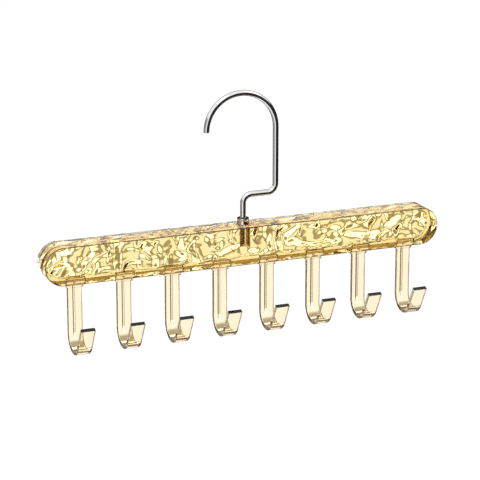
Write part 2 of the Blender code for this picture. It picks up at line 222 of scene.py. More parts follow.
# Studio: how bright the cards round the set are, by bearing and by height in degrees.
# The bearings run from 0 to 45 and are mirrored from there on, all the way round.
PANEL_PEAK = 2.0
PANEL_LEAST = 0.31
PANEL_SPAN = 45.0
PANEL_BEARINGS = (
    (0, 1.5),
    (3, 1.5),
    (4.5, 0.39),
    (8, 0.39),
    (9.5, 1.9),
    (13, 1.9),
    (14, 0.39),
    (16, 0.39),
    (17, 1.12),
    (28, 1.12),
    (29, 0.39),
    (32, 0.39),
    (33.5, 1.9),
    (38, 1.9),
    (40, 0.39),
    (45, 0.39),
)
PANEL_HEIGHTS = (
    (-90, 1.3),
    (-62, 1.3),
    (-58, 0.39),
    (-33, 0.39),
    (-31, 1.9),
    (-25, 1.9),
    (-23.5, 0.39),
    (-20.5, 0.39),
    (-19.5, 1),
    (-13, 1),
    (-12, 0.39),
    (-10, 0.39),
    (-8.5, 1.9),
    (-2, 1.9),
    (0, 0.39),
    (90, 0.39),
)
PLAIN_CARD = (1.0, 1.0, 1.0, 1.0)
GOLD_CARD = (1.0, 0.72, 0.30, 1.0)
BROWN_GAP = (0.14, 0.08, 0.04, 1.0)
PANEL_TINTS = (
    (-90, PLAIN_CARD),
    (-60.5, PLAIN_CARD),
    (-59, BROWN_GAP),
    (-49, BROWN_GAP),
    (-47, PLAIN_CARD),
    (-3, PLAIN_CARD),
    (-1, BROWN_GAP),
    (8, BROWN_GAP),
    (10, GOLD_CARD),
    (24, GOLD_CARD),
    (28, PLAIN_CARD),
    (90, PLAIN_CARD),
)
FRONT_CARD = (1.12, 1.12, 1.25, 1.0)
WARM_CARD = (1.10, 0.97, 0.65, 1.0)

# Tones by a direction's own X, Y or Z, from -1 to 1
LEFT_STEPS = ((-1.0, 0.5), (-0.3, 0.5), (-0.1, 1.0))
FRONT_STEPS = ((-1.0, 1.0), (-0.1, 1.0), (0.1, 0.0))
STEEP_STEPS = ((-1.0, 1.0), (-0.58, 1.0), (-0.48, 0.0))

# The steel's bright card stands across this direction, between a grey one and a dark one
STEEL_CARD_WAY = (0.9265, -0.376, 0.0)
STEEL_CARD_STEPS = ((-1.0, 0.3), (-0.56, 0.3), (-0.5, 1.0), (0.08, 1.0), (0.14, 0.02))
STEEL_CEILING_STEPS = ((-1.0, 0.0), (0.20, 0.0), (0.32, 1.0))


def panel_light(tree, across):
    """What clear plastic sees: cards with gaps between them, and one plain card low in front."""
    bearing = arithmetic(tree, "ARCTAN2", across.outputs["X"], across.outputs["Y"])
    folded = arithmetic(tree, "PINGPONG", bearing, math.radians(PANEL_SPAN))
    share = times(tree, folded, 1.0 / math.radians(PANEL_SPAN))
    bearings = [(angle / PANEL_SPAN, tone / PANEL_PEAK) for angle, tone in PANEL_BEARINGS]
    around = tone_steps(tree, share, 0.0, 1.0, bearings)
    heights = [(math.sin(math.radians(angle)), tone / PANEL_PEAK) for angle, tone in PANEL_HEIGHTS]
    up_down = tone_steps(tree, across.outputs["Z"], -1.0, 1.0, heights)
    cards = times(tree, times(tree, around, up_down), PANEL_PEAK * PANEL_PEAK)
    left = tone_steps(tree, across.outputs["X"], -1.0, 1.0, LEFT_STEPS)
    tone = times(tree, arithmetic(tree, "MAXIMUM", cards, PANEL_LEAST), left)
    whiteness = new_node(tree, "ShaderNodeMapRange")
    feed(tree, tone, whiteness.inputs["Value"])
    whiteness.inputs["From Min"].default_value = PANEL_LEAST
    card = pick(tree, whiteness.outputs["Result"], WARM_CARD, PLAIN_CARD)
    lit = new_node(tree, "ShaderNodeVectorMath", operation="SCALE")
    feed(tree, card, lit.inputs[0])
    feed(tree, tone, lit.inputs["Scale"])
    tints = [(math.sin(math.radians(angle)), tint) for angle, tint in PANEL_TINTS]
    tinted = new_node(tree, "ShaderNodeVectorMath", operation="MULTIPLY")
    feed(tree, lit.outputs["Vector"], tinted.inputs[0])
    feed(tree, tone_steps(tree, across.outputs["Z"], -1.0, 1.0, tints), tinted.inputs[1])
    front = tone_steps(tree, across.outputs["Y"], -1.0, 1.0, FRONT_STEPS)
    steep = tone_steps(tree, across.outputs["Z"], -1.0, 1.0, STEEP_STEPS)
    return pick(tree, times(tree, front, steep), tinted.outputs["Vector"], FRONT_CARD)


def steel_light(tree, direction, across):
    """What the steel sees: a bright card at one side, a dark one at the other, a bright ceiling."""
    facing = new_node(tree, "ShaderNodeVectorMath", operation="DOT_PRODUCT")
    feed(tree, direction, facing.inputs[0])
    facing.inputs[1].default_value = STEEL_CARD_WAY
    side = tone_steps(tree, facing.outputs["Value"], -1.0, 1.0, STEEL_CARD_STEPS)
    ceiling = tone_steps(tree, across.outputs["Z"], -1.0, 1.0, STEEL_CEILING_STEPS)
    return arithmetic(tree, "MAXIMUM", side, ceiling)


def make_studio_world():
    """White behind everything; clear plastic and steel also see the cards round the set."""
    world = bpy.data.worlds.new("studio")
    bpy.context.scene.world = world
    world.use_nodes = True
    tree = world.node_tree
    path = new_node(tree, "ShaderNodeLightPath")
    direction = new_node(tree, "ShaderNodeTexCoord").outputs["Generated"]
    across = new_node(tree, "ShaderNodeSeparateXYZ")
    tree.links.new(direction, across.inputs["Vector"])
    in_steel = steel_light(tree, direction, across)
    in_both = pick(tree, path.outputs["Is Transmission Ray"], in_steel, panel_light(tree, across))
    seen = pick(tree, path.outputs["Is Glossy Ray"], 1.0, in_both)
    tree.links.new(seen, tree.nodes["Background"].inputs["Color"])


# Camera, lamps and floor
CAMERA_AZIMUTH = math.radians(-22.102)
CAMERA_ELEVATION = math.radians(16.259)
CAMERA_DISTANCE = 1.5024
CAMERA_TARGET = Vector((-0.000917, 0.0, -0.101403))
CAMERA_LENS = 163.6
CAMERA_SENSOR = 36.0
LAMP_AIM = Vector((0.0, 0.0, -0.1))
LAMP_SIZE = 1.2
LAMPS = (
    ("key_lamp", (-0.9, -1.1, 2.2), 12.0),
    ("fill_lamp", (1.4, -0.7, 1.5), 5.0),
)
FLOOR_HEIGHT = -0.62
FLOOR_RADIUS = 4.0
FLOOR_SIDES = 96
FLOOR_PAPER = (0.30, 0.30, 0.30, 1.0)
FLOOR_GLOW = 0.72


def make_camera():
    back = Vector(
        (
            math.sin(CAMERA_AZIMUTH) * math.cos(CAMERA_ELEVATION),
            -math.cos(CAMERA_AZIMUTH) * math.cos(CAMERA_ELEVATION),
            math.sin(CAMERA_ELEVATION),
        )
    )
    data = bpy.data.cameras.new("photo_camera")
    data.lens = CAMERA_LENS
    data.sensor_width = CAMERA_SENSOR
    camera = bpy.data.objects.new("photo_camera", data)
    bpy.context.scene.collection.objects.link(camera)
    camera.location = CAMERA_TARGET + back * CAMERA_DISTANCE
    camera.rotation_euler = (CAMERA_TARGET - camera.location).to_track_quat("-Z", "Y").to_euler()
    bpy.context.scene.camera = camera
    bpy.context.scene.view_settings.view_transform = "Standard"


def make_lamp(name, place, power):
    data = bpy.data.lights.new(name, "AREA")
    data.shape = "DISK"
    data.size = LAMP_SIZE
    data.energy = power
    lamp = bpy.data.objects.new(name, data)
    bpy.context.scene.collection.objects.link(lamp)
    lamp.location = place
    lamp.rotation_euler = (LAMP_AIM - lamp.location).to_track_quat("-Z", "Y").to_euler()


def make_floor():
    """Pale floor that keeps the shadow. Rays off plastic or steel and views from below pass it."""
    work = bmesh.new()
    bmesh.ops.create_circle(work, cap_ends=True, segments=FLOOR_SIDES, radius=FLOOR_RADIUS)
    bmesh.ops.translate(work, verts=work.verts, vec=(0.0, 0.0, FLOOR_HEIGHT))
    floor = finished_piece("floor", work)
    floor.data.flip_normals()
    material = bpy.data.materials.new("floor_paper")
    material.use_nodes = True
    tree = material.node_tree
    tree.nodes.remove(tree.nodes["Principled BSDF"])
    paper = new_node(tree, "ShaderNodeBsdfDiffuse")
    paper.inputs["Color"].default_value = FLOOR_PAPER
    glow = new_node(tree, "ShaderNodeEmission")
    glow.inputs["Strength"].default_value = FLOOR_GLOW
    both = new_node(tree, "ShaderNodeAddShader")
    tree.links.new(paper.outputs["BSDF"], both.inputs[0])
    tree.links.new(glow.outputs["Emission"], both.inputs[1])
    path = new_node(tree, "ShaderNodeLightPath")
    glossy = path.outputs["Is Glossy Ray"]
    passing = arithmetic(tree, "MAXIMUM", glossy, path.outputs["Is Transmission Ray"])
    from_below = new_node(tree, "ShaderNodeNewGeometry").outputs["Backfacing"]
    passing = arithmetic(tree, "MAXIMUM", passing, from_below)
    clear = new_node(tree, "ShaderNodeBsdfTransparent")
    choice = new_node(tree, "ShaderNodeMixShader")
    tree.links.new(passing, choice.inputs["Fac"])
    tree.links.new(both.outputs["Shader"], choice.inputs[1])
    tree.links.new(clear.outputs["BSDF"], choice.inputs[2])
    tree.links.new(choice.outputs["Shader"], tree.nodes["Material Output"].inputs["Surface"])
    floor.data.materials.append(material)


# Node groups

MARK_PATCH_DETAIL = 3.0
MARK_PATCH_STEPS = ((0.0, 0.0), (0.55, 0.0), (0.75, 1.0))
MARK_HAIR_STRETCH = (0.15, 1.0, 1.0)
MARK_HAIR_TURN = (0.0, 0.5, 0.2)
MARK_HAIR_FINENESS = 40.0
MARK_HAIR_STEPS = ((0.0, 0.0), (0.58, 0.0), (0.68, 1.0))
WAVE_DETAIL = 1.0


def make_group(name, inputs, outputs):
    """An empty group with named sockets: (name, kind, default) in, (name, kind) out."""
    group = bpy.data.node_groups.new(name, "ShaderNodeTree")
    for socket_name, kind, default in inputs:
        socket = group.interface.new_socket(socket_name, in_out="INPUT", socket_type=kind)
        socket.default_value = default
    for socket_name, kind in outputs:
        group.interface.new_socket(socket_name, in_out="OUTPUT", socket_type=kind)
    return group, new_node(group, "NodeGroupInput"), new_node(group, "NodeGroupOutput")


def make_handling_marks():
    """Fine scuffs in patches, the way a handled part gets them."""
    group, given, result = make_group(
        "handling_marks",
        [("Scale", "NodeSocketFloat", 60.0), ("Amount", "NodeSocketFloat", 0.1)],
        [("Roughness", "NodeSocketFloat")],
    )
    place = new_node(group, "ShaderNodeTexCoord").outputs["Object"]
    patches = new_node(group, "ShaderNodeTexNoise")
    feed(group, place, patches.inputs["Vector"])
    feed(group, given.outputs["Scale"], patches.inputs["Scale"])
    patches.inputs["Detail"].default_value = MARK_PATCH_DETAIL
    where = tone_steps(group, patches.outputs["Fac"], 0.0, 1.0, MARK_PATCH_STEPS)
    lines = new_node(group, "ShaderNodeTexNoise")
    stretch = new_node(group, "ShaderNodeMapping")
    feed(group, place, stretch.inputs["Vector"])
    stretch.inputs["Scale"].default_value = MARK_HAIR_STRETCH
    stretch.inputs["Rotation"].default_value = MARK_HAIR_TURN
    group.links.new(stretch.outputs["Vector"], lines.inputs["Vector"])
    feed(group, times(group, given.outputs["Scale"], MARK_HAIR_FINENESS), lines.inputs["Scale"])
    hair = tone_steps(group, lines.outputs["Fac"], 0.0, 1.0, MARK_HAIR_STEPS)
    mask = times(group, where, hair)
    feed(group, times(group, mask, given.outputs["Amount"]), result.inputs["Roughness"])
    return group


def make_moulding_flow():
    """Slow waves that a moulded clear surface keeps, as a height and as a tone."""
    group, given, result = make_group(
        "moulding_flow",
        [("Scale", "NodeSocketFloat", 90.0), ("Stretch", "NodeSocketFloat", 0.4)],
        [("Height", "NodeSocketFloat"), ("Tone", "NodeSocketFloat")],
    )
    place = new_node(group, "ShaderNodeTexCoord").outputs["Object"]
    spread = new_node(group, "ShaderNodeCombineXYZ")
    feed(group, given.outputs["Stretch"], spread.inputs["X"])
    spread.inputs["Y"].default_value = 1.0
    spread.inputs["Z"].default_value = 1.0
    stretched = new_node(group, "ShaderNodeVectorMath", operation="MULTIPLY")
    feed(group, place, stretched.inputs[0])
    group.links.new(spread.outputs["Vector"], stretched.inputs[1])
    waves = new_node(group, "ShaderNodeTexNoise")
    group.links.new(stretched.outputs["Vector"], waves.inputs["Vector"])
    feed(group, given.outputs["Scale"], waves.inputs["Scale"])
    waves.inputs["Detail"].default_value = WAVE_DETAIL
    feed(group, waves.outputs["Fac"], result.inputs["Height"])
    feed(group, waves.outputs["Fac"], result.inputs["Tone"])
    return group


HANDLING_MARKS = make_handling_marks()
MOULDING_FLOW = make_moulding_flow()


# Materials


def use_group(tree, group, **values):
    node = new_node(tree, "ShaderNodeGroup", node_tree=group)
    for name, value in values.items():
        node.inputs[name].default_value = value
    return node


def raise_surface(tree, shader, height, distance):
    bump = new_node(tree, "ShaderNodeBump")
    feed(tree, height, bump.inputs["Height"])
    bump.inputs["Distance"].default_value = distance
    tree.links.new(bump.outputs["Normal"], shader.inputs["Normal"])


# How far the hanger reaches to the front and to the back of its turning axis
FRONT_REACH = -31.0 * MM
BACK_REACH = 10.0 * MM

# Steps for what a look leaves out or has everywhere
NEVER = ((0.0, 0.0), (1.0, 0.0))
ALWAYS = ((0.0, 1.0), (1.0, 1.0))
NOWHERE = ((-1.0, 0.0), (1.0, 0.0))
EVEN_REACH = ((FRONT_REACH, 1.0), (BACK_REACH, 1.0))


def painted_edge_shade(tree, look):
    """Painted shade on the plastic: a dark tint in its colour on sides seen edge-on, and from outside on
    some roundings and tops.
    """
    place = new_node(tree, "ShaderNodeTexCoord")
    way = new_node(tree, "ShaderNodeSeparateXYZ")
    tree.links.new(place.outputs["Normal"], way.inputs["Vector"])
    slant = new_node(tree, "ShaderNodeLayerWeight").outputs["Facing"]
    painted_shade_edge_on = tone_steps(tree, slant, 0.0, 1.0, look["painted_shade_slant_steps"])
    sideways = arithmetic(tree, "ABSOLUTE", way.outputs["X"])
    painted_shade_on_sides = tone_steps(tree, sideways, 0.0, 1.0, look["painted_shade_side_steps"])
    across = new_node(tree, "ShaderNodeSeparateXYZ")
    tree.links.new(place.outputs["Object"], across.inputs["Vector"])
    reach = tone_steps(tree, across.outputs["Y"], FRONT_REACH, BACK_REACH, look["painted_shade_reach_steps"])
    # Painted shade: edges seen edge-on, on the sides, weaker or stronger by how far back they are
    painted_shade_on_edges = times(tree, times(tree, painted_shade_edge_on, painted_shade_on_sides), reach)
    # Painted shade: roundings and tops, only where seen from outside
    painted_shade_on_roundings = tone_steps(tree, way.outputs["Y"], -1.0, 1.0, look["painted_shade_rounding_steps"])
    painted_shade_on_tops = tone_steps(tree, way.outputs["Z"], -1.0, 1.0, look["painted_shade_top_steps"])
    inside = new_node(tree, "ShaderNodeNewGeometry").outputs["Backfacing"]
    from_outside = arithmetic(tree, "SUBTRACT", 1.0, inside)
    painted_shade_outside = times(tree, arithmetic(tree, "MAXIMUM", painted_shade_on_roundings, painted_shade_on_tops), from_outside)
    return arithmetic(tree, "MAXIMUM", painted_shade_on_edges, painted_shade_outside)


def make_clear_plastic(name, look):
    """Clear moulded plastic: colour from its surface and from the depth light travels in it, with
    painted shade on its edges.
    """
    material = bpy.data.materials.new(name)
    material.use_nodes = True
    tree = material.node_tree
    shader = tree.nodes["Principled BSDF"]
    shader.inputs["Transmission Weight"].default_value = 1.0
    shader.inputs["IOR"].default_value = look["ior"]
    flow = use_group(tree, MOULDING_FLOW, Scale=look["wave_scale"], Stretch=look["wave_stretch"])
    tint = pick(tree, flow.outputs["Tone"], look["tint"], look["second_tint"])
    # Painted shade: the tint turns dark on edges seen edge-on and on some roundings and tops
    tint = pick(tree, painted_edge_shade(tree, look), tint, look["painted_shade_tint"])
    tree.links.new(tint, shader.inputs["Base Color"])
    raise_surface(tree, shader, flow.outputs["Height"], look["wave_height"])
    marks = use_group(tree, HANDLING_MARKS, Scale=look["mark_scale"], Amount=look["mark_roughness"])
    tree.links.new(marks.outputs["Roughness"], shader.inputs["Roughness"])
    depth = new_node(tree, "ShaderNodeVolumeAbsorption")
    depth.inputs["Color"].default_value = look["depth_colour"]
    depth.inputs["Density"].default_value = look["depth_density"]
    tree.links.new(depth.outputs["Volume"], tree.nodes["Material Output"].inputs["Volume"])
    return material


AMBER_LOOK = {
    "ior": 1.49,
    "tint": (1.0, 1.0, 1.0, 1.0),
    "second_tint": (1.0, 0.985, 0.95, 1.0),
    "wave_scale": 90.0,
    "wave_stretch": 0.5,
    "wave_height": 0.02 * MM,
    "mark_scale": 45.0,
    "mark_roughness": 0.05,
    # Painted shade: a dark tint on the bar's rounded front edges, seen from outside
    "painted_shade_tint": (0.03, 0.018, 0.004, 1.0),
    "painted_shade_slant_steps": NEVER,
    "painted_shade_side_steps": NEVER,
    "painted_shade_reach_steps": EVEN_REACH,
    "painted_shade_rounding_steps": ((-1.0, 0.0), (-0.99, 0.0), (-0.97, 1.0), (-0.35, 1.0), (-0.25, 0.0)),
    "painted_shade_top_steps": NOWHERE,
    "depth_colour": (0.978, 0.78, 0.0, 1.0),
    "depth_density": 50.0,
}

PALE_LOOK = {
    "ior": 1.45,
    "tint": (0.985, 0.87, 0.64, 1.0),
    "second_tint": (0.985, 0.86, 0.62, 1.0),
    "wave_scale": 120.0,
    "wave_stretch": 1.0,
    "wave_height": 0.004 * MM,
    "mark_scale": 70.0,
    "mark_roughness": 0.05,
    # Painted shade: a dark tint on sides seen edge-on, weaker towards the front, and on upward tops seen
    # from outside
    "painted_shade_tint": (0.03, 0.02, 0.012, 1.0),
    "painted_shade_slant_steps": ((0.0, 0.0), (0.45, 0.0), (0.58, 1.0)),
    "painted_shade_side_steps": ((0.0, 0.0), (0.5, 0.0), (0.75, 1.0)),
    "painted_shade_reach_steps": ((FRONT_REACH, 0.65), (-12.0 * MM, 0.65), (-7.0 * MM, 1.0)),
    "painted_shade_rounding_steps": NOWHERE,
    "painted_shade_top_steps": ((-1.0, 0.0), (0.97, 0.0), (0.985, 1.0)),
    "depth_colour": (0.98, 0.90, 0.80, 1.0),
    "depth_density": 30.0,
}

BUSH_LOOK = {
    "ior": 1.45,
    "tint": (0.97, 0.93, 0.84, 1.0),
    "second_tint": (0.95, 0.90, 0.80, 1.0),
    "wave_scale": 200.0,
    "wave_stretch": 1.0,
    "wave_height": 0.004 * MM,
    "mark_scale": 120.0,
    "mark_roughness": 0.1,
    # Painted shade: a dark tint where the sleeve is seen edge-on
    "painted_shade_tint": (0.03, 0.02, 0.01, 1.0),
    "painted_shade_slant_steps": ((0.0, 0.0), (0.45, 0.0), (0.6, 1.0)),
    "painted_shade_side_steps": ALWAYS,
    "painted_shade_reach_steps": EVEN_REACH,
    "painted_shade_rounding_steps": NOWHERE,
    "painted_shade_top_steps": NOWHERE,
    "depth_colour": (0.95, 0.85, 0.70, 1.0),
    "depth_density": 30.0,
}

STEEL_TINT = (0.86, 0.86, 0.87, 1.0)
STEEL_SECOND_TINT = (0.80, 0.80, 0.81, 1.0)
STEEL_WAVE_SCALE = 300.0
STEEL_WAVE_HEIGHT = 0.004 * MM
STEEL_MARK_SCALE = 110.0
STEEL_MARK_ROUGHNESS = 0.12
STEEL_ROUGHNESS = 0.05
# Painted shade: the steel's colour and gloss darken where it is seen edge-on
STEEL_PAINTED_SHADE_TINT = (0.05, 0.05, 0.055, 1.0)
STEEL_PAINTED_SHADE_STEPS = ((0.0, 0.0), (0.45, 0.0), (0.65, 1.0))


def make_polished_steel():
    """Bright rod with faint waves and hairline marks; its colour and gloss are painted dark where it is
    seen edge-on, a painted shade.
    """
    material = bpy.data.materials.new("polished_steel")
    material.use_nodes = True
    tree = material.node_tree
    shader = tree.nodes["Principled BSDF"]
    shader.inputs["Metallic"].default_value = 1.0
    flow = use_group(tree, MOULDING_FLOW, Scale=STEEL_WAVE_SCALE, Stretch=1.0)
    tone = pick(tree, flow.outputs["Tone"], STEEL_TINT, STEEL_SECOND_TINT)
    slant = new_node(tree, "ShaderNodeLayerWeight").outputs["Facing"]
    painted_shade_edge_on = tone_steps(tree, slant, 0.0, 1.0, STEEL_PAINTED_SHADE_STEPS)
    # Painted shade: colour and gloss turn dark where the rod is seen edge-on
    tree.links.new(pick(tree, painted_shade_edge_on, tone, STEEL_PAINTED_SHADE_TINT), shader.inputs["Base Color"])
    tree.links.new(pick(tree, painted_shade_edge_on, 1.0, STEEL_PAINTED_SHADE_TINT), shader.inputs["Specular Tint"])
    marks = use_group(tree, HANDLING_MARKS, Scale=STEEL_MARK_SCALE, Amount=STEEL_MARK_ROUGHNESS)
    roughness = arithmetic(tree, "ADD", marks.outputs["Roughness"], STEEL_ROUGHNESS)
    tree.links.new(roughness, shader.inputs["Roughness"])
    raise_surface(tree, shader, flow.outputs["Height"], STEEL_WAVE_HEIGHT)
    return material


# Mesh helpers

# Degrees: folds sharper than these are rounded
BAR_FOLD = 60.0
HOOK_FOLD = 50.0
ROD_FOLD = 80.0

# Degrees: folds blunter than these are shaded smooth
BAR_SMOOTH = 38.0
HOOK_SMOOTH = 30.0
TURNED_SMOOTH = 35.0


def finished_piece(name, work):
    """The bmesh as an object at the origin, closed and facing outwards."""
    bmesh.ops.recalc_face_normals(work, faces=work.faces)
    mesh = bpy.data.meshes.new(name)
    work.to_mesh(mesh)
    work.free()
    piece = bpy.data.objects.new(name, mesh)
    bpy.context.scene.collection.objects.link(piece)
    return piece


def apply_modifiers(piece):
    """Keep the mesh that the piece's modifiers make as its own."""
    bpy.context.view_layer.update()
    shaped = piece.evaluated_get(bpy.context.evaluated_depsgraph_get())
    mesh = bpy.data.meshes.new_from_object(shaped)
    piece.modifiers.clear()
    piece.data = mesh


def combine(target, tool, operation):
    """Boolean the tool into the target's own mesh and drop the tool."""
    step = target.modifiers.new(operation.lower(), "BOOLEAN")
    step.operation = operation
    step.solver = "EXACT"
    step.object = tool
    apply_modifiers(target)
    bpy.data.objects.remove(tool, do_unlink=True)


def round_edges(work, edges, width, segments):
    bmesh.ops.bevel(
        work,
        geom=edges,
        offset=width,
        offset_type="OFFSET",
        segments=segments,
        profile=0.5,
        affect="EDGES",
        material=-1,
        clamp_overlap=True,
    )


def sharp_edges(work, least_angle):
    least = math.radians(least_angle)
    folds = [edge for edge in work.edges if len(edge.link_faces) == 2]
    return [edge for edge in folds if edge.calc_face_angle(0.0) > least]


def moved(geometry):
    return [item for item in geometry["geom"] if isinstance(item, bmesh.types.BMVert)]


def shade_piece(piece, smooth_angle):
    """Smooth its roundings and keep its flat faces optically flat."""
    piece.data.shade_smooth()
    piece.data.set_sharp_from_angle(angle=math.radians(smooth_angle))
    even = piece.modifiers.new("even_shading", "WEIGHTED_NORMAL")
    even.mode = "FACE_AREA"
    even.weight = 50
    even.keep_sharp = True
    apply_modifiers(piece)


def set_piece(piece, node, body, material, smooth_angle):
    piece.data.materials.clear()
    piece.data.materials.append(material)
    for face in piece.data.polygons:
        face.material_index = 0
    shade_piece(piece, smooth_angle)
    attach(piece, body)
    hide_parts(node)


def hook_places():
    first = AXIS_ALONG - (HOOK_COUNT - 1) / 2 * HOOK_PITCH
    return [first + number * HOOK_PITCH for number in range(HOOK_COUNT)]


# Bar


def make_bar_block():
    """A round disc pulled out sideways into a bar with half-round ends."""
    work = bmesh.new()
    bmesh.ops.create_circle(work, cap_ends=True, segments=BAR_END_FACETS, radius=END_RADIUS)
    half_facet = Matrix.Rotation(math.pi / BAR_END_FACETS, 4, "Z")
    bmesh.ops.transform(work, matrix=half_facet, verts=work.verts)
    reach = BAR_LENGTH / 2 - END_RADIUS
    for vertex in work.verts:
        vertex.co.x += math.copysign(reach, vertex.co.x)
    raised = bmesh.ops.extrude_face_region(work, geom=work.faces[:])
    bmesh.ops.translate(work, verts=moved(raised), vec=(0.0, 0.0, BAR_DEPTH))
    bmesh.ops.recalc_face_normals(work, faces=work.faces)
    round_edges(work, sharp_edges(work, BAR_FOLD), BAR_EDGE_ROUND, BAR_EDGE_STEPS)
    stand_up = Matrix.Rotation(math.pi / 2, 4, "X")
    bmesh.ops.transform(work, matrix=stand_up, verts=work.verts)
    bmesh.ops.translate(work, verts=work.verts, vec=(AXIS_ALONG, BAR_BACK, BAR_MIDDLE))
    return finished_piece("amber_bar", work)


def add_upright_block(work, levels, depth, across):
    """A block seen from the front: (width, height above the bar's underside) from the top down."""
    floor = BAR_TOP - BAR_HEIGHT
    front = -STRAP_SET_FORWARD - depth / 2
    right = [(across + width / 2, front, floor + height) for width, height in levels]
    left = [(across - width / 2, front, floor + height) for width, height in levels]
    ring = [work.verts.new(place) for place in right + left[::-1]]
    raised = bmesh.ops.extrude_face_region(work, geom=[work.faces.new(ring)])
    bmesh.ops.translate(work, verts=moved(raised), vec=(0.0, depth, 0.0))


def upright_edges(work):
    rises = [(edge, edge.verts[0].co.z - edge.verts[1].co.z) for edge in work.edges]
    return [edge for edge, rise in rises if abs(rise) > CUT_OVERRUN / 2]


def make_pockets():
    """The hollows that take the hooks' heads, and the bore for the bush."""
    work = bmesh.new()
    mouth = HEAD_MOUTH_WIDTH + 2 * FIT_GAP
    levels = [(HEAD_TOP_WIDTH + 2 * FIT_GAP, HEAD_PLUG + FIT_GAP), (mouth, 0.0), (mouth, -CUT_OVERRUN)]
    for across in hook_places():
        add_upright_block(work, levels, HEAD_DEPTH + 2 * FIT_GAP, across)
    bmesh.ops.recalc_face_normals(work, faces=work.faces)
    round_edges(work, upright_edges(work), HEAD_EDGE_ROUND, HEAD_EDGE_STEPS)
    height = BORE_DEPTH + CUT_OVERRUN
    bore = bmesh.ops.create_cone(
        work,
        cap_ends=True,
        segments=TURNED_SIDES,
        radius1=BORE_RADIUS,
        radius2=BORE_RADIUS,
        depth=height,
    )["verts"]
    bmesh.ops.translate(work, verts=bore, vec=(AXIS_ALONG, 0.0, BAR_TOP + CUT_OVERRUN - height / 2))
    return finished_piece("pockets", work)


def clamp(value, low=0.0, high=1.0):
    return max(low, min(high, value))


def smooth_step(value):
    return value * value * (3.0 - 2.0 * value)


def ripple_depth(along, up):
    """How deep the back is pressed in, from the bar's top centre; negative where the rim stays plain."""
    reach = BAR_LENGTH / 2 - END_RADIUS
    inset = END_RADIUS - math.hypot(max(0.0, abs(along) - reach), up + END_RADIUS)
    wander = noise.noise(Vector((along, RIM_WANDER_SIZE, up)) / RIM_WANDER_SIZE)
    rim = max(RIM_LEAST, RIM_WIDTH + RIM_WANDER * wander)
    slope = smooth_step(clamp((inset - rim) / RIM_SLOPE))
    point = Vector((along, 0.0, up)) / RIPPLE_SIZE
    warp = noise.noise_vector(point * RIPPLE_WARP_SCALE + Vector(RIPPLE_WARP_START))
    point = point + warp * RIPPLE_WARP
    swell = noise.noise(point) + noise.noise(point * RIPPLE_FINE_SCALE) * RIPPLE_FINE
    height = 0.5 + 0.5 * clamp(swell, -1.0, 1.0)
    return slope * (RIM_CLEARANCE + RIPPLE_DEPTH * height) - RIM_CLEARANCE


def keep_bore_wall(depth, along, up):
    """Ease the ripples off where they would come near the bore."""
    beside = clamp((abs(along) - BORE_RADIUS) / RIM_SLOPE)
    below = clamp((-up - BORE_DEPTH) / RIM_SLOPE)
    deepest = BAR_BACK - BORE_RADIUS - BORE_WALL
    return min(depth, deepest + max(beside, below) * RIPPLE_DEPTH)


def make_ripple_cutter():
    """What is pressed out of the bar's back: its near face carries the ripples."""
    work = bmesh.new()
    length = BAR_LENGTH + 2 * RIM_CLEARANCE
    height = BAR_HEIGHT + 2 * RIM_CLEARANCE
    bmesh.ops.create_grid(
        work, x_segments=int(length / RIPPLE_STEP), y_segments=int(height / RIPPLE_STEP), size=0.5
    )
    noise.seed_set(RIPPLE_SEED)
    for vertex in work.verts:
        along = vertex.co.x * length
        up = vertex.co.y * height - END_RADIUS
        depth = keep_bore_wall(ripple_depth(along, up), along, up)
        vertex.co = (AXIS_ALONG + along, BAR_BACK - depth, BAR_TOP + up)
    for vertex in moved(bmesh.ops.extrude_face_region(work, geom=work.faces[:])):
        vertex.co.y = BAR_BACK + BAR_DEPTH
    return finished_piece("ripple_cutter", work)


def make_bar(material):
    bar = make_bar_block()
    combine(bar, make_pockets(), "DIFFERENCE")
    combine(bar, make_ripple_cutter(), "DIFFERENCE")
    set_piece(bar, "bar", "bar_body", material, BAR_SMOOTH)


# Garment hooks


def sweep_hook(work, bend_centre):
    """Draw a flat section down the strap, round the bend and up the lip."""
    down = bmesh.ops.extrude_face_region(work, geom=work.faces[:])
    for vertex in moved(down):
        vertex.co.z = BEND_HEIGHT
    ends = [face for face in down["geom"] if isinstance(face, bmesh.types.BMFace)]
    turned = bmesh.ops.spin(
        work, geom=ends, cent=bend_centre, axis=(1.0, 0.0, 0.0), angle=-(math.pi - LIP_LEAN),
        steps=BEND_STEPS, use_merge=False, use_duplicate=False,
    )["geom_last"]
    bmesh.ops.delete(work, geom=ends, context="FACES_ONLY")
    last = [item for item in turned if isinstance(item, bmesh.types.BMFace)]
    up = bmesh.ops.extrude_face_region(work, geom=last)
    rise = Vector((0.0, -math.sin(LIP_LEAN), math.cos(LIP_LEAN))) * LIP_LENGTH
    bmesh.ops.translate(work, verts=moved(up), vec=rise)
    bmesh.ops.delete(work, geom=last, context="FACES_ONLY")
    bmesh.ops.recalc_face_normals(work, faces=work.faces)


def lip_corners(work):
    """The short edges through the lip's thickness, at its free end."""
    lip_end = BEND_HEIGHT + LIP_LENGTH * LIP_END_SHARE
    corners = []
    for edge in work.edges:
        one, other = (vertex.co for vertex in edge.verts)
        through = abs(one.x - other.x) < SLACK and (one - other).length < LIP_EDGE_MOST
        if through and min(one.z, other.z) > lip_end and one.y < STRAP_BACK - BEND_OUTER:
            corners.append(edge)
    return corners


